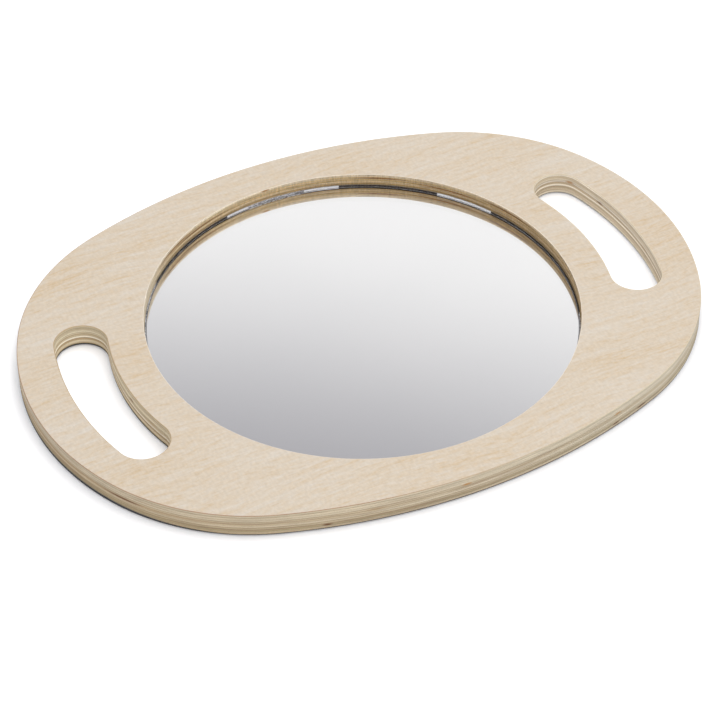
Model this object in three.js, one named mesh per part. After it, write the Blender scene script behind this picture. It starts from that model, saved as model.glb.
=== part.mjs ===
// Two-handled plywood hand mirror. Millimetres; X runs from handle to handle, Y across,
// Z up from the back face to the front face. The opening is centred on the origin.
import * as THREE from 'three';
import { toCreasedNormals } from 'three/addons/utils/BufferGeometryUtils.js';

// Board outline: an oval of eight tangent arcs, mirrored about X and Y.
const LENGTH = 400;
const WIDTH = 300;
const END_RADIUS = 153;
const END_HALF_ANGLE = THREE.MathUtils.degToRad(26);
const CORNER_RADIUS = 125;

// Finger slots: arcs about the centre of the opening, with full-round ends.
const SLOT_CENTRELINE_RADIUS = 161.5;
const SLOT_WIDTH = 30;
const SLOT_HALF_ANGLE = THREE.MathUtils.degToRad(16);

// Round opening, cut through every ply but the last one, which is the floor of the well.
const OPENING_RADIUS = 125;

// Veneers from front to back. Odd plies have their grain along X, even plies along Y.
const PLIES = [
  { name: 'ply_1_front_veneer', thickness: 1.4, color: 0xdccbb4 },
  { name: 'ply_2_cross', thickness: 1.7, color: 0xb9a584 },
  { name: 'ply_3_long', thickness: 1.5, color: 0xaa9270 },
  { name: 'ply_4_cross', thickness: 1.15, color: 0xcbbd9f },
  { name: 'ply_5_core', thickness: 1.5, color: 0xa88d6b },
  { name: 'ply_6_cross', thickness: 1.35, color: 0xc9bb9d },
  { name: 'ply_7_long', thickness: 1.4, color: 0xa78a66 },
  { name: 'ply_8_cross', thickness: 2.0, color: 0xb5a17e },
  { name: 'ply_9_back_veneer', thickness: 2.0, color: 0xc8ae84 },
];

// Rounded arrises of the front and back veneers.
const OUTER_ARRIS = 0.4;
const SLOT_ARRIS = 0.5;
const OPENING_ARRIS = 0.3;
const ARRIS_STEPS = 3;

// Mirror: silvered and painted glass, stuck to the floor of the well with foam tape.
const TAPE_THICKNESS = 1.6;
const PAINT_THICKNESS = 0.1;
const SILVER_THICKNESS = 0.05;
const GLASS_THICKNESS = 3.1;
const GLASS_CLEARANCE = 0.35;
const GLASS_CHAMFER = 0.3;
const TAPE_LENGTH = 150;
const TAPE_WIDTH = 20;
const TAPE_ROWS = [-84, -28, 28, 84];

// Facets in each kind of arc.
const END_FACETS = 12;
const CORNER_FACETS = 16;
const SIDE_FACETS = 24;
const SLOT_SIDE_FACETS = 10;
const SLOT_END_FACETS = 12;
const CIRCLE_FACETS = 96;

const BOARD_THICKNESS = PLIES.reduce((sum, ply) => sum + ply.thickness, 0);
const FLOOR_HEIGHT = PLIES.at(-1).thickness;

/** Points of an arc, without its last one, so that arcs chain into a loop. */
function arc(x, y, radius, from, to, facets) {
  const points = [];
  for (let i = 0; i < facets; i += 1) {
    const angle = from + ((to - from) * i) / facets;
    points.push([x + radius * Math.cos(angle), y + radius * Math.sin(angle)]);
  }
  return points;
}

/** Outline of the board, anticlockwise, moved in by `inset`. */
function ovalLoop(inset) {
  const endX = LENGTH / 2 - END_RADIUS;
  const cornerX = endX + (END_RADIUS - CORNER_RADIUS) * Math.cos(END_HALF_ANGLE);
  const cornerY = (END_RADIUS - CORNER_RADIUS) * Math.sin(END_HALF_ANGLE);
  const rise = WIDTH / 2 - CORNER_RADIUS;
  const sideY = (cornerX ** 2 + cornerY ** 2 - rise ** 2) / (2 * (rise - cornerY));
  const turn = Math.atan2(cornerY + sideY, cornerX);
  const half = END_HALF_ANGLE;
  const end = END_RADIUS - inset;
  const corner = CORNER_RADIUS - inset;
  const side = WIDTH / 2 + sideY - inset;
  return [
    ...arc(endX, 0, end, -half, half, END_FACETS),
    ...arc(cornerX, cornerY, corner, half, turn, CORNER_FACETS),
    ...arc(0, -sideY, side, turn, Math.PI - turn, SIDE_FACETS),
    ...arc(-cornerX, cornerY, corner, Math.PI - turn, Math.PI - half, CORNER_FACETS),
    ...arc(-endX, 0, end, Math.PI - half, Math.PI + half, END_FACETS),
    ...arc(-cornerX, -cornerY, corner, Math.PI + half, Math.PI + turn, CORNER_FACETS),
    ...arc(0, sideY, side, Math.PI + turn, 2 * Math.PI - turn, SIDE_FACETS),
    ...arc(cornerX, -cornerY, corner, 2 * Math.PI - turn, 2 * Math.PI - half, CORNER_FACETS),
  ];
}

/** Outline of the finger slot in direction `heading`, clockwise, grown by `inset`. */
function slotLoop(heading, inset) {
  const reach = SLOT_WIDTH / 2 + inset;
  const first = heading - SLOT_HALF_ANGLE;
  const last = heading + SLOT_HALF_ANGLE;
  const endCap = (angle, start) => arc(
    SLOT_CENTRELINE_RADIUS * Math.cos(angle),
    SLOT_CENTRELINE_RADIUS * Math.sin(angle),
    reach,
    start,
    start + Math.PI,
    SLOT_END_FACETS,
  );
  return [
    ...arc(0, 0, SLOT_CENTRELINE_RADIUS + reach, first, last, SLOT_SIDE_FACETS),
    ...endCap(last, last),
    ...arc(0, 0, SLOT_CENTRELINE_RADIUS - reach, last, first, SLOT_SIDE_FACETS),
    ...endCap(first, first + Math.PI),
  ].reverse();
}

/** Circle about the origin, anticlockwise. */
function circleLoop(radius) {
  return arc(0, 0, radius, 0, 2 * Math.PI, CIRCLE_FACETS);
}

/** Edge profile from low to high as [height, inset], with a rounded arris at either end. */
function edgeProfile(low, high, lowArris, highArris) {
  const profile = [];
  for (let i = 0; i <= ARRIS_STEPS && lowArris > 0; i += 1) {
    const angle = (i / ARRIS_STEPS) * (Math.PI / 2);
    profile.push([low + lowArris * (1 - Math.sin(angle)), lowArris * (1 - Math.cos(angle))]);
  }
  profile.reverse();
  if (lowArris === 0) profile.push([low, 0]);
  if (highArris === 0) profile.push([high, 0]);
  for (let i = 0; i <= ARRIS_STEPS && highArris > 0; i += 1) {
    const angle = (i / ARRIS_STEPS) * (Math.PI / 2);
    profile.push([high - highArris * (1 - Math.sin(angle)), highArris * (1 - Math.cos(angle))]);
  }
  return profile;
}

/** Rings of a wall: the loop of each inset, lifted to its height. */
function wallRings(loopAt, profile) {
  return profile.map(([height, inset]) => loopAt(inset).map(([x, y]) => [x, y, height]));
}

/** Adds the strip of facets between neighbouring rings, facing out of the material. */
function addWall(triangles, rings) {
  for (let level = 1; level < rings.length; level += 1) {
    const low = rings[level - 1];
    const high = rings[level];
    for (let i = 0; i < low.length; i += 1) {
      const next = (i + 1) % low.length;
      triangles.push([low[i], low[next], high[next]]);
      triangles.push([low[i], high[next], high[i]]);
    }
  }
}

/** Adds a flat face bounded by an anticlockwise ring, with clockwise holes. */
function addFace(triangles, [outline, ...holes], facesUp) {
  const flat = (ring) => ring.map(([x, y]) => new THREE.Vector2(x, y));
  const points = [outline, ...holes].flat();
  for (const [a, b, c] of THREE.ShapeUtils.triangulateShape(flat(outline), holes.map(flat))) {
    triangles.push(facesUp ? [points[a], points[b], points[c]] : [points[c], points[b], points[a]]);
  }
}

/** Named mesh of a list of triangles. */
function meshOf(name, triangles, color, roughness = 0.8, metalness = 0) {
  const geometry = new THREE.BufferGeometry();
  const position = new THREE.Float32BufferAttribute(triangles.flat(2), 3);
  geometry.setAttribute('position', position);
  const creased = toCreasedNormals(geometry, Math.PI / 5);
  const material = new THREE.MeshStandardMaterial({ color, roughness, metalness });
  const mesh = new THREE.Mesh(creased, material);
  mesh.name = name;
  return mesh;
}

/** One veneer of the board, between two heights. */
function plyMesh(index, low, high) {
  const isFront = index === 0;
  const isBack = index === PLIES.length - 1;
  const profile = (arris) => edgeProfile(low, high, isBack ? arris : 0, isFront ? arris : 0);
  const walls = [
    wallRings(ovalLoop, profile(OUTER_ARRIS)),
    wallRings((inset) => slotLoop(0, inset), profile(SLOT_ARRIS)),
    wallRings((inset) => slotLoop(Math.PI, inset), profile(SLOT_ARRIS)),
  ];
  if (!isBack) {
    const openingAt = (inset) => circleLoop(OPENING_RADIUS + inset).reverse();
    walls.push(wallRings(openingAt, profile(OPENING_ARRIS)));
  }
  const triangles = [];
  walls.forEach((rings) => addWall(triangles, rings));
  addFace(triangles, walls.map((rings) => rings.at(-1)), true);
  addFace(triangles, walls.map((rings) => rings[0]), false);
  return meshOf(PLIES[index].name, triangles, PLIES[index].color);
}

/** The whole stack of veneers, front ply first. */
function board() {
  let high = BOARD_THICKNESS;
  return PLIES.map((ply, index) => {
    const low = index === PLIES.length - 1 ? 0 : high - ply.thickness;
    const mesh = plyMesh(index, low, high);
    high = low;
    return mesh;
  });
}

/** Round sheet between two heights, with equal chamfers on both rims. */
function discMesh(name, radius, low, high, chamfer, look) {
  const profile = [[low, chamfer], [low + chamfer, 0], [high - chamfer, 0], [high, chamfer]];
  const levels = chamfer > 0 ? profile : [[low, 0], [high, 0]];
  const rings = wallRings((inset) => circleLoop(radius - inset), levels);
  const triangles = [];
  addWall(triangles, rings);
  addFace(triangles, [rings.at(-1)], true);
  addFace(triangles, [rings[0]], false);
  return meshOf(name, triangles, look.color, look.roughness, look.metalness);
}

/** Tape strips, then paint, silver and glass, stacked on the floor of the well. */
function mirror() {
  const paint = FLOOR_HEIGHT + TAPE_THICKNESS;
  const silver = paint + PAINT_THICKNESS;
  const glass = silver + SILVER_THICKNESS;
  const radius = OPENING_RADIUS - GLASS_CLEARANCE;
  const coated = radius - GLASS_CHAMFER;
  const strips = TAPE_ROWS.map((row, index) => {
    const strip = new THREE.BoxGeometry(TAPE_LENGTH, TAPE_WIDTH, TAPE_THICKNESS);
    strip.translate(0, row, FLOOR_HEIGHT + TAPE_THICKNESS / 2);
    const mesh = new THREE.Mesh(strip, new THREE.MeshStandardMaterial({ color: 0xe8e6e0 }));
    mesh.name = `tape_strip_${index + 1}`;
    return mesh;
  });
  return [
    ...strips,
    discMesh('mirror_backing_paint', coated, paint, silver, 0,
      { color: 0x4b5054, roughness: 0.6, metalness: 0 }),
    discMesh('mirror_silver', coated, silver, glass, 0,
      { color: 0xd4d8da, roughness: 0.05, metalness: 1 }),
    discMesh('mirror_glass', radius, glass, glass + GLASS_THICKNESS, GLASS_CHAMFER,
      { color: 0xdde3e4, roughness: 0.03, metalness: 0 }),
  ];
}

const handMirror = new THREE.Group();
handMirror.name = 'two_handled_hand_mirror';
handMirror.add(...board(), ...mirror());

export default handMirror;
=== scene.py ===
import math

import bpy
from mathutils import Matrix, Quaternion, Vector
from mathutils.geometry import tessellate_polygon


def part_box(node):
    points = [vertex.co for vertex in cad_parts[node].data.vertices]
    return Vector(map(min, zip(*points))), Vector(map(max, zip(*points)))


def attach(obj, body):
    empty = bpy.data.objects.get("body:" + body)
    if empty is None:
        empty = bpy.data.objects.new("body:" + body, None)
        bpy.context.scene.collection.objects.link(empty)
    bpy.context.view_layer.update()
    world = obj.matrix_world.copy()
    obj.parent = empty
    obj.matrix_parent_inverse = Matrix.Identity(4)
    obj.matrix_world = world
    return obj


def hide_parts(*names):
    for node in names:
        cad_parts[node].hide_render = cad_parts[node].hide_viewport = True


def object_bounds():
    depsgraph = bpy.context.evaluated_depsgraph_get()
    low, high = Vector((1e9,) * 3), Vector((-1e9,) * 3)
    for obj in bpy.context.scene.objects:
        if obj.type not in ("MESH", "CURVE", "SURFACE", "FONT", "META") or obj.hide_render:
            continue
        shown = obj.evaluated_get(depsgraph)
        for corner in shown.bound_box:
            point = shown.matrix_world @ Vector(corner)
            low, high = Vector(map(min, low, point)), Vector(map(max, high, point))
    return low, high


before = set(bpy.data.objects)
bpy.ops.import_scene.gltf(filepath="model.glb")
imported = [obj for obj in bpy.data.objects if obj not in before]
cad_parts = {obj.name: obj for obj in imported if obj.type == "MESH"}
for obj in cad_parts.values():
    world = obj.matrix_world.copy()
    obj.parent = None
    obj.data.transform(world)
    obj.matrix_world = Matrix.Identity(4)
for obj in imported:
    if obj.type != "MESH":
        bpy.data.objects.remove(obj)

# Two-handled plywood hand mirror. X runs from handle to handle and Z up from the back face to
# the front face, with the middle of the round glass over the origin.
CAD_LOW, CAD_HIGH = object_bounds()
MM = 0.001

# ---------------------------------------------------------------- sizes shared with the CAD model

BOARD_TOP = CAD_HIGH.z
END_RADIUS = 153 * MM
END_HALF_ANGLE = math.radians(26)
CORNER_RADIUS = 125 * MM
SLOT_CENTRELINE_RADIUS = 161.5 * MM
SLOT_WIDTH = 30 * MM
SLOT_HALF_ANGLE = math.radians(16)
OPENING_RADIUS = 125 * MM
OUTER_ARRIS = 0.4 * MM
SLOT_ARRIS = 0.5 * MM
OPENING_ARRIS = 0.3 * MM
GLASS_CHAMFER = 0.3 * MM

# The silver film starts this far below the silvered back of the glass, so the two never touch.
SILVER_GAP = 0.01 * MM

# Plies from the front face to the back one.
PLIES = sorted(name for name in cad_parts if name.startswith("ply_"))
FRONT_PLY = PLIES[0]
BACK_PLY = PLIES[-1]

# Points in each kind of arc, and steps round an arris.
END_STEPS = 48
CORNER_STEPS = 56
SIDE_STEPS = 96
SLOT_SIDE_STEPS = 48
SLOT_END_STEPS = 32
CIRCLE_STEPS = 384
ARRIS_STEPS = 8

# Each glue line is a fine V groove: this deep, and this high on either side of the joint.
GLUE_GROOVE_DEPTH = 0.05 * MM
GLUE_GROOVE_HEIGHT = 0.07 * MM

# Material slots of a ply, and those of a disc.
OUTER_EDGE, PLY_FACE, SLOT_EDGE, WELL_WALL = range(4)
DISC_TOP, DISC_RIM, DISC_BOTTOM = range(3)


# ---------------------------------------------------------------- outlines

def arc(x, y, radius, start, end, steps):
    """Points of an arc, without its last one, so that arcs chain into a loop."""
    angles = (start + (end - start) * i / steps for i in range(steps))
    return [(x + radius * math.cos(a), y + radius * math.sin(a)) for a in angles]


def oval_loop(inset):
    """Outline of the board, anticlockwise, moved in by inset: eight tangent arcs."""
    end_x = CAD_HIGH.x - END_RADIUS
    corner_x = end_x + (END_RADIUS - CORNER_RADIUS) * math.cos(END_HALF_ANGLE)
    corner_y = (END_RADIUS - CORNER_RADIUS) * math.sin(END_HALF_ANGLE)
    rise = CAD_HIGH.y - CORNER_RADIUS
    side_y = (corner_x ** 2 + corner_y ** 2 - rise ** 2) / (2 * (rise - corner_y))
    turn = math.atan2(corner_y + side_y, corner_x)
    half = END_HALF_ANGLE
    end = END_RADIUS - inset
    corner = CORNER_RADIUS - inset
    side = CAD_HIGH.y + side_y - inset
    pi = math.pi
    return [
        *arc(end_x, 0, end, -half, half, END_STEPS),
        *arc(corner_x, corner_y, corner, half, turn, CORNER_STEPS),
        *arc(0, -side_y, side, turn, pi - turn, SIDE_STEPS),
        *arc(-corner_x, corner_y, corner, pi - turn, pi - half, CORNER_STEPS),
        *arc(-end_x, 0, end, pi - half, pi + half, END_STEPS),
        *arc(-corner_x, -corner_y, corner, pi + half, pi + turn, CORNER_STEPS),
        *arc(0, side_y, side, pi + turn, 2 * pi - turn, SIDE_STEPS),
        *arc(corner_x, -corner_y, corner, 2 * pi - turn, 2 * pi - half, CORNER_STEPS),
    ]


def slot_loop(heading, inset):
    """Outline of the finger slot in direction heading, clockwise, grown by inset."""
    reach = SLOT_WIDTH / 2 + inset
    first = heading - SLOT_HALF_ANGLE
    last = heading + SLOT_HALF_ANGLE

    def end_cap(angle, start):
        x = SLOT_CENTRELINE_RADIUS * math.cos(angle)
        y = SLOT_CENTRELINE_RADIUS * math.sin(angle)
        return arc(x, y, reach, start, start + math.pi, SLOT_END_STEPS)

    loop = [
        *arc(0, 0, SLOT_CENTRELINE_RADIUS + reach, first, last, SLOT_SIDE_STEPS),
        *end_cap(last, last),
        *arc(0, 0, SLOT_CENTRELINE_RADIUS - reach, last, first, SLOT_SIDE_STEPS),
        *end_cap(first, first + math.pi),
    ]
    return loop[::-1]


def circle_loop(radius):
    """Circle about the origin, anticlockwise."""
    return arc(0, 0, radius, 0, 2 * math.pi, CIRCLE_STEPS)


# ---------------------------------------------------------------- meshes

def arris(wall, face, radius):
    """Quarter round from the wall's end at height wall to a face at height face, as (height, inset)."""
    steps = [i / ARRIS_STEPS * math.pi / 2 for i in range(ARRIS_STEPS + 1)]
    rise = face - wall
    return [(wall + rise * math.sin(a), radius * (1 - math.cos(a))) for a in steps]


def ply_profile(low, high, radius, is_front, is_back):
    """Edge of one veneer from low to high: half a glue groove, or an arris, at either end."""
    lower = [(low, GLUE_GROOVE_DEPTH), (low + GLUE_GROOVE_HEIGHT, 0)]
    upper = [(high - GLUE_GROOVE_HEIGHT, 0), (high, GLUE_GROOVE_DEPTH)]
    if is_front:
        upper = arris(high - radius, high, radius)
    if is_back:
        lower = arris(low + radius, low, radius)[::-1]
    return lower + upper


def wall_rings(loop_at, profile):
    """Rings of a wall: the loop of each inset, at its height."""
    return [[(x, y, height) for x, y in loop_at(inset)] for height, inset in profile]


class Shell:
    """Collects the vertices and faces of one closed piece, with a material slot for each face."""

    def __init__(self):
        self.vertices = []
        self.faces = []
        self.slots = []
        self.smooth = []

    def add_ring(self, ring):
        first = len(self.vertices)
        self.vertices.extend(ring)
        return list(range(first, first + len(ring)))

    def add_wall(self, rings, slot):
        """Quads between neighbouring rings. Returns the lowest and highest ring's indices."""
        indices = [self.add_ring(ring) for ring in rings]
        for low, high in zip(indices, indices[1:]):
            for i, corner in enumerate(low):
                j = (i + 1) % len(low)
                self.faces.append((corner, low[j], high[j], high[i]))
                self.slots.append(slot)
                self.smooth.append(True)
        return indices[0], indices[-1]

    def add_face(self, rings, up, slot):
        """Flat face bounded by an outline ring, with holes for the other rings."""
        indices = [i for ring in rings for i in ring]
        flat = [[Vector((*self.vertices[i][:2], 0)) for i in ring] for ring in rings]
        for triangle in tessellate_polygon(flat):
            a, b, c = (indices[i] for i in triangle)
            (ax, ay, _), (bx, by, _), (cx, cy, _) = (self.vertices[i] for i in (a, b, c))
            turns_left = (bx - ax) * (cy - ay) > (by - ay) * (cx - ax)
            self.faces.append((a, b, c) if turns_left == up else (c, b, a))
            self.slots.append(slot)
            self.smooth.append(False)

    def build(self, name, node, materials):
        """The piece that stands for a CAD node, riding on the one body."""
        mesh = bpy.data.meshes.new(name)
        mesh.from_pydata(self.vertices, [], self.faces)
        mesh.polygons.foreach_set("material_index", self.slots)
        mesh.polygons.foreach_set("use_smooth", self.smooth)
        for material in materials:
            mesh.materials.append(material)
        mesh.update()
        piece = bpy.data.objects.new(name, mesh)
        bpy.context.scene.collection.objects.link(piece)
        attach(piece, "root")
        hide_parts(node)
        return piece


def opening_loop(inset):
    """Outline of the round opening, clockwise, grown by inset."""
    return circle_loop(OPENING_RADIUS + inset)[::-1]


def right_slot_loop(inset):
    return slot_loop(0, inset)


def left_slot_loop(inset):
    return slot_loop(math.pi, inset)


def ply_piece(node, materials):
    """One veneer, with materials for its outer edge, faces, slot edges and the wall of the well."""
    low, high = (corner.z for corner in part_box(node))
    is_front = node == FRONT_PLY
    is_back = node == BACK_PLY
    edges = [
        (oval_loop, OUTER_ARRIS, OUTER_EDGE),
        (right_slot_loop, SLOT_ARRIS, SLOT_EDGE),
        (left_slot_loop, SLOT_ARRIS, SLOT_EDGE),
    ]
    if not is_back:
        edges.append((opening_loop, OPENING_ARRIS, WELL_WALL))
    shell = Shell()
    low_rings, high_rings = [], []
    for loop_at, radius, slot in edges:
        profile = ply_profile(low, high, radius, is_front, is_back)
        low_ring, high_ring = shell.add_wall(wall_rings(loop_at, profile), slot)
        low_rings.append(low_ring)
        high_rings.append(high_ring)
    shell.add_face(high_rings, True, PLY_FACE)
    shell.add_face(low_rings, False, PLY_FACE)
    return shell.build(node.replace("ply", "veneer"), node, materials)


def disc_piece(name, node, profile, materials):
    """Round sheet with the (height, inset) profile, and materials for its top, rim and bottom."""
    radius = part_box(node)[1].x
    shell = Shell()
    rings = wall_rings(lambda inset: circle_loop(radius - inset), profile)
    low_ring, high_ring = shell.add_wall(rings, DISC_RIM)
    shell.add_face([high_ring], True, DISC_TOP)
    shell.add_face([low_ring], False, DISC_BOTTOM)
    return shell.build(name, node, materials)


def glass_piece(clear, ground, silvered):
    """Glass sheet: clear in front, ground and chamfered round its rim, silvered behind."""
    low, high = (corner.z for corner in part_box("mirror_glass"))
    profile = [(low, GLASS_CHAMFER), (low + GLASS_CHAMFER, 0),
               (high - GLASS_CHAMFER, 0), (high, GLASS_CHAMFER)]
    return disc_piece("glass", "mirror_glass", profile, [clear, ground, silvered])


def film_piece(name, node, material, gap=0.0):
    """Thin film the size of its CAD node, with its top lowered by gap."""
    low, high = (corner.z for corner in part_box(node))
    profile = [(low, 0), (high - gap, 0)]
    return disc_piece(name, node, profile, [material] * 3)


# ---------------------------------------------------------------- node graphs

def fill_ramp(ramp, stops):
    """Gives a colour ramp its (position, colour) stops."""
    elements = ramp.elements
    while len(elements) < len(stops):
        elements.new(0.5)
    for element, (position, colour) in zip(elements, stops):
        element.position = position
        element.color = (*colour, 1)


class Graph:
    """A material's node tree with short calls for the nodes used here."""

    def __init__(self, name, roughness, specular=0.5):
        self.material = bpy.data.materials.new(name)
        self.material.use_nodes = True
        self.tree = self.material.node_tree
        self.shader = self.tree.nodes["Principled BSDF"]
        self.shader.inputs["Roughness"].default_value = roughness
        self.shader.inputs["Specular IOR Level"].default_value = specular
        self.place = self.node("ShaderNodeTexCoord").outputs["Object"]

    def node(self, kind, **settings):
        made = self.tree.nodes.new(kind)
        for key, value in settings.items():
            setattr(made, key, value)
        return made

    def feed(self, socket, value):
        """Links an output into the socket, or sets the socket to a plain value."""
        if isinstance(value, bpy.types.NodeSocket):
            self.tree.links.new(value, socket)
        else:
            socket.default_value = value

    def set(self, name, value):
        self.feed(self.shader.inputs[name], value)

    def math(self, operation, *values):
        made = self.node("ShaderNodeMath", operation=operation)
        for socket, value in zip(made.inputs, values):
            self.feed(socket, value)
        return made.outputs[0]

    def vector(self, operation, *values):
        made = self.node("ShaderNodeVectorMath", operation=operation)
        for socket, value in zip(made.inputs, values):
            self.feed(socket, value)
        return made.outputs["Value" if operation == "LENGTH" else "Vector"]

    def scaled(self, place, x, y, z, shift=(0, 0, 0)):
        """Coordinates in features per metre along each axis."""
        made = self.node("ShaderNodeMapping")
        made.inputs["Scale"].default_value = (x, y, z)
        made.inputs["Location"].default_value = shift
        self.feed(made.inputs["Vector"], place)
        return made.outputs[0]

    def noise(self, place, detail, roughness=0.5):
        made = self.node("ShaderNodeTexNoise")
        made.inputs["Scale"].default_value = 1.0
        made.inputs["Detail"].default_value = detail
        made.inputs["Roughness"].default_value = roughness
        self.feed(made.inputs["Vector"], place)
        return made.outputs["Fac"]

    def grey(self, value):
        made = self.node("ShaderNodeCombineColor")
        for socket in made.inputs:
            self.feed(socket, value)
        return made.outputs[0]

    def parts(self, vector):
        made = self.node("ShaderNodeSeparateXYZ")
        self.feed(made.inputs[0], vector)
        return made.outputs

    def facing(self):
        """X, Y and Z of the way the surface faces."""
        return self.parts(self.node("ShaderNodeNewGeometry").outputs["Normal"])

    def faces_up(self, low, high, most):
        """0 on upright walls, rising to most where an arris turns up."""
        return self.span(self.facing()["Z"], low, high, 0, most)

    def ramp(self, factor, stops):
        """Colour ramp through (position, colour) stops."""
        made = self.node("ShaderNodeValToRGB")
        fill_ramp(made.color_ramp, stops)
        self.feed(made.inputs["Fac"], factor)
        return made.outputs["Color"]

    def span(self, value, low, high, to_low=0.0, to_high=1.0):
        """Maps low to high onto to_low to to_high, clamped."""
        made = self.node("ShaderNodeMapRange")
        for name, number in (("From Min", low), ("From Max", high),
                             ("To Min", to_low), ("To Max", to_high)):
            made.inputs[name].default_value = number
        self.feed(made.inputs["Value"], value)
        return made.outputs["Result"]

    def mix(self, factor, first, second, blend="MIX"):
        made = self.node("ShaderNodeMix", data_type="RGBA", blend_type=blend)
        self.feed(made.inputs["Factor"], factor)
        for socket, value in ((made.inputs[6], first), (made.inputs[7], second)):
            self.feed(socket, (*value, 1) if isinstance(value, tuple) else value)
        return made.outputs[2]

    def bump(self, height, distance, strength=1.0):
        made = self.node("ShaderNodeBump")
        made.inputs["Distance"].default_value = distance
        made.inputs["Strength"].default_value = strength
        self.feed(made.inputs["Height"], height)
        self.set("Normal", made.outputs["Normal"])


def shade(colour, factor):
    return tuple(channel * factor for channel in colour)


# ---------------------------------------------------------------- wood

FACE_PALE = (0.570, 0.514, 0.440)
FACE_WARM = (0.550, 0.462, 0.354)
FACE_GOLD = (0.520, 0.398, 0.258)


def birch_face(name, tint=1.0):
    """Rotary-cut birch, grain along X: warm streaks and flecks, and a fine ripple across the grain."""
    g = Graph(name, 0.62, 0.4)
    drift = g.noise(g.scaled(g.place, 9, 14, 1), 2)
    sway = g.vector("MULTIPLY", g.vector("SUBTRACT", drift, (0.5,) * 3), (0, 0.022, 0))
    grain = g.vector("ADD", g.place, sway)
    cloud = g.noise(g.scaled(grain, 7, 24, 1), 2)
    streak = g.noise(g.scaled(grain, 16, 250, 1), 4, 0.62)
    fleck = g.noise(g.scaled(grain, 170, 650, 1), 3, 0.6)
    ripple = g.noise(g.scaled(grain, 700, 330, 1), 2)
    pore = g.noise(g.scaled(grain, 130, 1900, 1, (3, 7, 0)), 1)
    warmth = g.math("ADD", g.span(streak, 0.32, 0.68, 0, 0.36), g.span(fleck, 0.3, 0.7, 0, 0.40))
    warmth = g.math("ADD", warmth, g.span(cloud, 0.3, 0.7, 0, 0.24))
    colour = g.ramp(warmth, [(0.18, shade(FACE_PALE, tint)), (0.55, shade(FACE_WARM, tint)),
                             (0.85, shade(FACE_GOLD, tint))])
    value = g.math("MULTIPLY", g.span(ripple, 0.3, 0.7, 0.95, 1.05),
                   g.span(pore, 0.62, 0.72, 1.0, 0.93))
    g.set("Base Color", g.mix(1.0, colour, g.grey(value), "MULTIPLY"))
    g.bump(g.math("ADD", g.math("MULTIPLY", streak, 0.6), g.math("MULTIPLY", ripple, 0.4)), 0.05 * MM)
    return g.material


# Tones of the veneers on the cut edges.
BONE = (0.900, 0.840, 0.700)
PALE = (0.800, 0.745, 0.630)
CREAM = (0.720, 0.650, 0.500)
STRAW = (0.600, 0.510, 0.365)
TAN = (0.510, 0.415, 0.280)
BROWN = (0.410, 0.300, 0.180)
GREY = (0.525, 0.450, 0.335)
OLIVE = (0.375, 0.298, 0.182)
GOLDEN = (0.500, 0.375, 0.190)
ARRIS_BROWN = (0.340, 0.210, 0.135)

# Front ply first: the tone where the outer edge faces along X, and where it faces along Y. The two
# differ partly by the plies' own tone and partly by painted light and shade.
OUTER_TONES = [
    (GREY, STRAW),
    (GREY, STRAW),
    (GREY, STRAW),
    (TAN, TAN),
    (BROWN, TAN),
    (TAN, STRAW),
    (OLIVE, TAN),
    (OLIVE, OLIVE),
    (GOLDEN, TAN),
]
# Front ply first: the tone in the left slot, and in the right one. The two differ partly by the plies'
# own tone and partly by painted light and shade.
SLOT_TONES = [
    (STRAW, BONE),
    (STRAW, STRAW),
    (CREAM, CREAM),
    (STRAW, PALE),
    (TAN, TAN),
    (PALE, BONE),
    (BROWN, TAN),
    (STRAW, STRAW),
    (GOLDEN, CREAM),
]

# Glue lines: how far their tone fades into the plies, how dark they are against the ply below,
# and those that show as a pale line instead, by the veneer above.
GLUE_LINE_REACH = 0.2 * MM
GLUE_LINE_SHADE = 0.55
PALE_JOINTS = {"ply_2_cross": CREAM, "ply_5_core": CREAM, "ply_8_cross": CREAM}

# How far the bands wander up and down along a cut edge, and along the wall of the well.
EDGE_WAVER = 0.2 * MM
WELL_WAVER = 0.35 * MM

# Depth of the streaks in the tone of a cut edge, and of the wall of the well.
EDGE_STREAKS = 0.14
WELL_STREAKS = 0.2

# Painted light and shade along the edges: factors on the tones at the left and right ends, and where
# those ends are.
DRIFT_START, DRIFT_END = 0.85 * CAD_LOW.x, 0.6 * CAD_HIGH.x
OUTER_LIGHT_DRIFT = ((0.99, 0.98, 0.94), (0.97, 1.01, 1.08))
SLOT_LIGHT_DRIFT = ((1.12, 1.12, 1.09), (0.97, 0.94, 0.94))
WELL_LIGHT_DRIFT = ((1.28, 1.30, 1.34), (0.92, 0.86, 0.76))

# Painted shade at the foot of the edge, for the contact shade round the board: its tone, then (X,
# height) at a place on the left, and at a place further right.
FOOT_SHADE_TONE = (0.035, 0.040, 0.050)
OUTER_FOOT_SHADE = ((-185 * MM, 2.5 * MM), (-140 * MM, 0.9 * MM))
SLOT_FOOT_SHADE = ((-60 * MM, 1.7 * MM), (60 * MM, 0.6 * MM))

# Where the painted foot shade starts to fade and where it ends, as fractions of its height.
FOOT_FADE_START = 0.6
FOOT_FADE_END = 1.1

# Colours of knots and of the brown streaks in the grain.
KNOT_RED = (0.130, 0.055, 0.025)
KNOT_GOLD = (0.420, 0.200, 0.050)
STREAK_RED = (0.300, 0.190, 0.105)
UMBER = (0.270, 0.135, 0.045)

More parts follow.
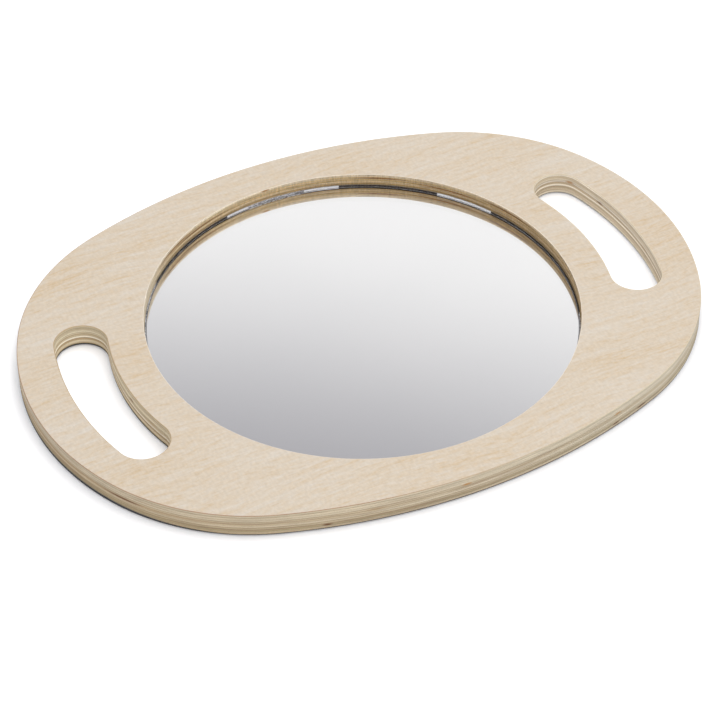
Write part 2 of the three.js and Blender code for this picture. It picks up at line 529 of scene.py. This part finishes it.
# Small knots on the cut edges, then streaks and a knot on the wall of the well: middle (mm),
# half length (mm) and colour. Each fades out from its core to its end, in half lengths, and
# KNOT_FLATNESS is its length over its height for each mm of half length, so all are equally high.
EDGE_KNOTS = [
    ((-180, -75, 7.8), 12, KNOT_RED),
    ((-90, -138, 3.0), 3, KNOT_RED),
    ((-64, -144, 8.2), 6, BROWN),
    ((-13, -150, 9.0), 3, KNOT_GOLD),
    ((87, -139, 9.2), 3, KNOT_GOLD),
    ((86, -139, 2.4), 3, KNOT_RED),
    ((106, -133, 2.6), 4, KNOT_RED),
    ((124, -126, 3.2), 5, BROWN),
    ((174, 28, 8.0), 3, KNOT_RED),
    ((175, -21, 8.0), 6, BROWN),
    ((168, 53, 9.2), 3, KNOT_GOLD),
    ((-146, -7, 8.9), 3, KNOT_RED),
    ((-144, -29, 8.5), 5, BROWN),
]
WELL_KNOTS = [
    ((-52, 114, 10.2), 26, UMBER),
    ((-76, 99, 11.7), 24, UMBER),
    ((-3, 125, 13.2), 3, KNOT_GOLD),
    ((66, 106, 11.3), 16, UMBER),
    ((119, 38, 11.8), 22, UMBER),
    ((98, 77, 9.6), 24, UMBER),
]
KNOT_CORE = 0.4
KNOT_END = 1.2
KNOT_COVER = 0.9
KNOT_FLATNESS = 1.2
ARRIS_COVER = 0.9


def band_ramp(g, height, tones, pale_joints):
    """Tones down the board, front ply first, as a ramp over height with a line at each joint."""
    reach = GLUE_LINE_REACH / BOARD_TOP
    stops = []
    for index in reversed(range(len(PLIES))):
        tone = tones[index]
        low, high = (corner.z / BOARD_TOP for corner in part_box(PLIES[index]))
        stops += [(low + reach, tone), (high - reach, tone)]
        if index > 0:
            glue_line = pale_joints.get(PLIES[index - 1], shade(tone, GLUE_LINE_SHADE))
            stops.append((high, glue_line))
    return g.ramp(height, stops)


def wavering_height(g, amount):
    """Height above the back face over the board's thickness, wandering a little along the edge."""
    waver = g.noise(g.scaled(g.place, 45, 45, 45), 3)
    wander = g.span(waver, 0.25, 0.75, -amount, amount)
    return g.math("DIVIDE", g.math("ADD", g.parts(g.place)["Z"], wander), BOARD_TOP)


def edge_grain(g, colour, depth):
    """Adds long streaks in each veneer, a few of them brown, and the fine fibre of the cut."""
    long_streak = g.noise(g.scaled(g.place, 26, 26, 620), 2, 0.55)
    streak = g.noise(g.scaled(g.place, 90, 90, 2600), 3, 0.6)
    fibre = g.noise(g.scaled(g.place, 1500, 1500, 1800), 2)
    brown = g.noise(g.scaled(g.place, 16, 16, 1100, (5, 2, 9)), 2, 0.6)
    value = g.math("MULTIPLY", g.span(streak, 0.3, 0.7, 0.88, 1.10),
                   g.span(fibre, 0.3, 0.7, 0.94, 1.06))
    value = g.math("MULTIPLY", value, g.span(long_streak, 0.3, 0.7, 1 - depth, 1 + depth * 0.6))
    g.bump(g.math("ADD", g.math("MULTIPLY", streak, 0.5), g.math("MULTIPLY", fibre, 0.5)), 0.06 * MM)
    streaked = g.mix(g.span(brown, 0.58, 0.72, 0, 4 * depth), colour, STREAK_RED)
    return g.mix(1.0, streaked, g.grey(value), "MULTIPLY")


def with_knots(g, colour, knots):
    """Paints each knot as a soft lens along the edge."""
    for (x, y, z), half_length, tone in knots:
        away = g.vector("SUBTRACT", g.place, (x * MM, y * MM, z * MM))
        flat = g.vector("MULTIPLY", away, (1, 1, half_length * KNOT_FLATNESS))
        reach = g.vector("LENGTH", flat)
        unit = half_length * MM
        inside = g.span(reach, unit * KNOT_CORE, unit * KNOT_END, KNOT_COVER, 0)
        colour = g.mix(inside, colour, tone)
    return colour


def facing_front(g):
    """0 where an upright edge faces along X, 1 where it faces along Y."""
    facing = g.facing()
    return g.math("MULTIPLY", facing["Y"], facing["Y"])


def towards_right(g):
    """0 at the left slot, 1 at the right slot."""
    return g.span(g.parts(g.place)["X"], -0.5 * OPENING_RADIUS, 0.5 * OPENING_RADIUS)


def edge_bands(g, tones, share):
    """Bands of a cut edge. share says how far each pair of tones has gone to its second one."""
    height = wavering_height(g, EDGE_WAVER)
    first = band_ramp(g, height, [tone for tone, _ in tones], PALE_JOINTS)
    second = band_ramp(g, height, [tone for _, tone in tones], PALE_JOINTS)
    return g.mix(share, first, second)


def painted_foot_shade(g, foot):
    """1 where shade is painted at the foot of the edge, else 0."""
    place = g.parts(g.place)
    (left, left_height), (right, right_height) = foot
    foot_height = g.span(place["X"], left, right, left_height, right_height)
    return g.span(g.math("DIVIDE", place["Z"], foot_height), FOOT_FADE_START, FOOT_FADE_END, 1, 0)


def ply_edge(name, tones, share, arris_tones, drift, foot):
    """Cut edge of the board: wavering bands, knots, a sanded arris, painted light and shade along its
    length, and painted shade at its foot.
    """
    g = Graph(name, 0.75, 0.25)
    colour = edge_grain(g, edge_bands(g, tones, share(g)), EDGE_STREAKS)
    colour = with_knots(g, colour, EDGE_KNOTS)
    # Painted light and shade: the tones brighten or darken from the left end of the board to the right.
    across = g.span(g.parts(g.place)["X"], DRIFT_START, DRIFT_END)
    colour = g.mix(1.0, colour, g.mix(across, *drift), "MULTIPLY")
    arris_tone = g.mix(towards_right(g), *arris_tones)
    colour = g.mix(g.faces_up(0.1, 0.6, ARRIS_COVER), colour, arris_tone)
    # Painted shade: the foot of the edge is darkened, for the contact shade round the board.
    g.set("Base Color", g.mix(painted_foot_shade(g, foot), colour, FOOT_SHADE_TONE))
    return g.material


# Tones of the wall of the well, front ply first: browner and darker than the other cut edges.
WELL_PALE = (0.860, 0.730, 0.540)
WELL_STRAW = (0.680, 0.515, 0.295)
WELL_TAN = (0.580, 0.415, 0.205)
WELL_BROWN = (0.480, 0.330, 0.160)
WELL_TONES = [WELL_PALE, WELL_STRAW, WELL_TAN, WELL_STRAW, WELL_BROWN,
              WELL_TAN, WELL_BROWN, WELL_BROWN, WELL_BROWN]
# Painted light at the left end of the wall of the well: its tone, where it is strongest, where it ends,
# and how much it covers there.
WELL_LIT_TONE = (0.940, 0.850, 0.670)
LIT_TONE_MOST_AT = -0.95 * OPENING_RADIUS
LIT_TONE_UP_TO = -0.6 * OPENING_RADIUS
LIT_TONE_COVER = 0.85
# Pale arris over the well: partly sanded fresh wood, partly a painted highlight.
ARRIS_SANDED_AND_LIT = (0.740, 0.670, 0.570)


def well_wall(name):
    """Wall of the well: brown bands with painted light and shade from end to end, and painted light
    that makes the left end paler still, crossed by the cutter's fine marks.
    """
    g = Graph(name, 0.8, 0.15)
    colour = band_ramp(g, wavering_height(g, WELL_WAVER), WELL_TONES, {})
    tick = g.noise(g.scaled(g.place, 1100, 1100, 260), 2, 0.6)
    ticks = g.grey(g.span(tick, 0.3, 0.7, 0.8, 1.2))
    colour = with_knots(g, edge_grain(g, colour, WELL_STREAKS), WELL_KNOTS)
    x = g.parts(g.place)["X"]
    # Painted light and shade: the wall grows lighter towards its left end, and darker and browner
    # towards its right.
    drift = g.mix(g.span(x, -OPENING_RADIUS, OPENING_RADIUS), *WELL_LIGHT_DRIFT)
    colour = g.mix(1.0, colour, g.mix(1.0, ticks, drift, "MULTIPLY"), "MULTIPLY")
    # Painted light: the left end of the wall is turned paler.
    painted_light = g.span(x, LIT_TONE_MOST_AT, LIT_TONE_UP_TO, LIT_TONE_COVER, 0)
    colour = g.mix(painted_light, colour, WELL_LIT_TONE)
    # The arris turning up over the wall is paler: partly sanded fresh wood, partly a painted highlight.
    g.set("Base Color", g.mix(g.faces_up(0.15, 0.6, ARRIS_COVER), colour, ARRIS_SANDED_AND_LIT))
    return g.material


# ---------------------------------------------------------------- mirror materials

def clear_glass():
    """Clear float glass, very slightly uneven."""
    g = Graph("clear_glass", 0.0)
    g.set("Base Color", (0.992, 0.994, 0.993, 1))
    g.set("Transmission Weight", 1.0)
    g.set("IOR", 1.52)
    haze = g.noise(g.scaled(g.place, 30, 30, 30), 2)
    g.bump(haze, 0.002 * MM, 0.2)
    return g.material


RIM_DARK = (0.010, 0.011, 0.014)
RIM_GREY = (0.170, 0.170, 0.190)
RIM_GLINT = (0.860, 0.870, 0.900)

# Painted shade in a dark strip at the top of the rim: its height, and the share of it that is fully
# dark.
RIM_SHADE = 1.0 * MM
RIM_SHADE_SOLID = 0.6

# Painted glow of the parts painted with reflections, though the rim is no lamp, and the share of it
# that the half-bright parts have.
RIM_GLOW = 0.3
HALF_GLOW = 0.5

# Parts of the rim painted with bright reflections, and parts painted with half-bright speckled
# reflections, in degrees from +X.
PAINTED_GLINTS = [(25, 42), (70, 80), (97, 104)]
HALF_GLINTS = [(-40, -25), (80, 97), (138, 180)]


def between(g, value, spans):
    """1 where the value lies in any of the spans, else 0."""
    inside = 0.0
    for start, end in spans:
        above = g.math("GREATER_THAN", value, start)
        inside = g.math("ADD", inside, g.math("MULTIPLY", above, g.math("LESS_THAN", value, end)))
    return inside


def ground_edge():
    """Ground rim of the glass, seen through its face: dark and speckled, with painted shade along its
    top and painted reflections, which glow, at a few bearings.
    """
    g = Graph("ground_glass_edge", 0.35)
    place = g.parts(g.place)
    bearing = g.math("DEGREES", g.math("ARCTAN2", place["Y"], place["X"]))
    speck = g.noise(g.scaled(g.place, 900, 900, 1400), 3, 0.65)
    dark = g.ramp(speck, [(0.50, RIM_DARK), (0.66, RIM_GREY)])
    half = g.ramp(speck, [(0.36, RIM_DARK), (0.46, RIM_GREY), (0.54, RIM_GLINT)])
    half_glints = between(g, bearing, HALF_GLINTS)
    glints = between(g, bearing, PAINTED_GLINTS)
    # Painted reflections: the rim is turned bright, or speckled bright, at the listed bearings.
    colour = g.mix(glints, g.mix(half_glints, dark, half), RIM_GLINT)
    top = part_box("mirror_glass")[1].z
    # Painted shade: the top of the rim is darkened, except in the half-bright parts.
    shaded = g.span(place["Z"], top - RIM_SHADE, top - RIM_SHADE_SOLID * RIM_SHADE)
    shaded = g.math("MULTIPLY", shaded, g.math("SUBTRACT", 1.0, half_glints))
    colour = g.mix(shaded, colour, RIM_DARK)
    g.set("Base Color", colour)
    # Painted glow: the parts painted with reflections give off light.
    glow = g.math("ADD", glints, g.math("MULTIPLY", half_glints, HALF_GLOW))
    g.set("Emission Color", g.mix(glow, RIM_DARK, colour))
    g.set("Emission Strength", RIM_GLOW)
    return g.material


# Width of the border of the glass's back that the silvering leaves bare.
BARE_BORDER = 0.9 * MM


def silver():
    """Silvering of the glass's back, which ends at a bare grey border."""
    g = Graph("silver", 0.0)
    wave = g.noise(g.scaled(g.place, 12, 12, 12), 1)
    metal = g.ramp(wave, [(0.3, (0.930, 0.925, 0.928)), (0.7, (0.945, 0.938, 0.940))])
    out = g.vector("LENGTH", g.vector("MULTIPLY", g.place, (1, 1, 0)))
    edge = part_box("mirror_glass")[1].x - BARE_BORDER
    bare = g.math("GREATER_THAN", out, edge)
    speck = g.noise(g.scaled(g.place, 700, 700, 700), 2)
    grey = g.ramp(speck, [(0.35, (0.18, 0.18, 0.19)), (0.65, (0.34, 0.34, 0.36))])
    g.set("Base Color", g.mix(bare, metal, grey))
    g.set("Metallic", g.math("SUBTRACT", 1.0, bare))
    g.set("Roughness", g.math("MULTIPLY", bare, 0.6))
    return g.material


def backing_paint():
    """Dark grey protective paint on the back of the silver."""
    g = Graph("backing_paint", 0.55)
    wave = g.noise(g.scaled(g.place, 300, 300, 300), 3)
    g.set("Base Color", g.ramp(wave, [(0.3, (0.065, 0.075, 0.085)), (0.7, (0.09, 0.1, 0.11))]))
    g.bump(wave, 0.03 * MM)
    return g.material


def foam_tape():
    """White foam with fine open cells."""
    g = Graph("foam_tape", 0.85)
    cell = g.noise(g.scaled(g.place, 1800, 1800, 1800), 2)
    g.set("Base Color", g.ramp(cell, [(0.35, (0.68, 0.67, 0.64)), (0.65, (0.8, 0.79, 0.76))]))
    g.bump(cell, 0.1 * MM)
    return g.material


# ---------------------------------------------------------------- studio

# Three-quarter view from the front left. DISTANCE is in metres, LENS and SENSOR_WIDTH in mm.
AIM = Vector((-21.6 * MM, -39.8 * MM, BOARD_TOP))
AZIMUTH = math.radians(-26.36)
ELEVATION = math.radians(41.46)
ROLL = math.radians(-0.48)
DISTANCE = 1.4359
LENS = 128.57
SENSOR_WIDTH = 36

# White floor, a hair below the board.
FLOOR_REACH = 30
FLOOR_GAP = 0.7 * MM
FLOOR_GLOW = 0.11

# Tones of the studio's walls and ceiling over the sine of the angle at which a direction rises,
# tilted so that the ceiling comes lower on the left.
CEILING_TILT = (-0.12, 0.04, 1.0)
STUDIO_TONES = [
    (0.500, (0.50, 0.50, 0.50)),
    (0.570, (0.965, 0.965, 0.965)),
    (0.602, (0.965, 0.965, 0.965)),
    (0.694, (0.43, 0.425, 0.45)),
]


def camera():
    """Camera that looks at AIM from DISTANCE, without depth of field."""
    back = Vector((math.sin(AZIMUTH) * math.cos(ELEVATION),
                   -math.cos(AZIMUTH) * math.cos(ELEVATION),
                   math.sin(ELEVATION)))
    data = bpy.data.cameras.new("camera")
    data.lens = LENS
    data.sensor_width = SENSOR_WIDTH
    view = bpy.data.objects.new("camera", data)
    view.location = AIM + back * DISTANCE
    view.rotation_mode = "QUATERNION"
    view.rotation_quaternion = (-back).to_track_quat("-Z", "Y") @ Quaternion((0, 0, 1), ROLL)
    bpy.context.scene.collection.objects.link(view)
    bpy.context.scene.camera = view


def surroundings():
    """Pale studio walls, brightest a little below the camera's height, and a darker ceiling."""
    world = bpy.data.worlds.new("studio")
    bpy.context.scene.world = world
    world.use_nodes = True
    tree = world.node_tree
    coord = tree.nodes.new("ShaderNodeTexCoord")
    height = tree.nodes.new("ShaderNodeVectorMath")
    height.operation = "DOT_PRODUCT"
    height.inputs[1].default_value = CEILING_TILT
    ramp = tree.nodes.new("ShaderNodeValToRGB")
    ramp.color_ramp.interpolation = "EASE"
    fill_ramp(ramp.color_ramp, STUDIO_TONES)
    tree.links.new(coord.outputs["Generated"], height.inputs[0])
    tree.links.new(height.outputs["Value"], ramp.inputs["Fac"])
    tree.links.new(ramp.outputs["Color"], tree.nodes["Background"].inputs["Color"])


def softbox(name, heading, height_angle, distance, size, power):
    """Square area light aimed at the middle of the board. Angles in degrees, heading from +X."""
    data = bpy.data.lights.new(name, "AREA")
    data.size = size
    data.energy = power
    light = bpy.data.objects.new(name, data)
    heading, height_angle = math.radians(heading), math.radians(height_angle)
    way = Vector((math.cos(heading) * math.cos(height_angle),
                  math.sin(heading) * math.cos(height_angle),
                  math.sin(height_angle)))
    light.location = way * distance
    light.rotation_mode = "QUATERNION"
    light.rotation_quaternion = (-way).to_track_quat("-Z", "Y")
    bpy.context.scene.collection.objects.link(light)


def floor():
    """White floor, a hair below the board, so that a dark line of contact shade shows round it."""
    reach, level = FLOOR_REACH, -FLOOR_GAP
    corners = [(-reach, -reach, level), (reach, -reach, level),
               (reach, reach, level), (-reach, reach, level)]
    mesh = bpy.data.meshes.new("floor")
    mesh.from_pydata(corners, [], [(0, 1, 2, 3)])
    g = Graph("floor_white", 0.9, 0.0)
    tone = g.noise(g.scaled(g.place, 3, 3, 3), 2)
    g.set("Base Color", g.ramp(tone, [(0.3, (0.890, 0.900, 0.920)), (0.7, (0.900, 0.910, 0.930))]))
    g.set("Emission Color", (1, 1, 1, 1))
    g.set("Emission Strength", FLOOR_GLOW)
    mesh.materials.append(g.material)
    plane = bpy.data.objects.new("floor", mesh)
    bpy.context.scene.collection.objects.link(plane)


# ---------------------------------------------------------------- assembly

camera()
surroundings()
softbox("overhead", heading=20, height_angle=84, distance=1.7, size=1.7, power=27)
softbox("front", heading=-95, height_angle=30, distance=2.4, size=1.6, power=10)
floor()

front = birch_face("birch_front")
back = birch_face("birch_back", 0.93)
outer_edge = ply_edge("outer_edge", OUTER_TONES, facing_front,
                      (ARRIS_BROWN, STRAW), OUTER_LIGHT_DRIFT, OUTER_FOOT_SHADE)
slot_edge = ply_edge("slot_edge", SLOT_TONES, towards_right,
                     (BROWN, STRAW), SLOT_LIGHT_DRIFT, SLOT_FOOT_SHADE)
well = well_wall("well_wall")
for node in PLIES:
    face = back if node == BACK_PLY else front
    ply_piece(node, [outer_edge, face, slot_edge, well])

silvered = silver()
glass_piece(clear_glass(), ground_edge(), silvered)
film_piece("silver", "mirror_silver", silvered, SILVER_GAP)
film_piece("backing_paint", "mirror_backing_paint", backing_paint())
tape = foam_tape()
for node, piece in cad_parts.items():
    if node.startswith("tape"):
        piece.data.materials.clear()
        piece.data.materials.append(tape)

bpy.context.scene.view_settings.view_transform = "Standard"
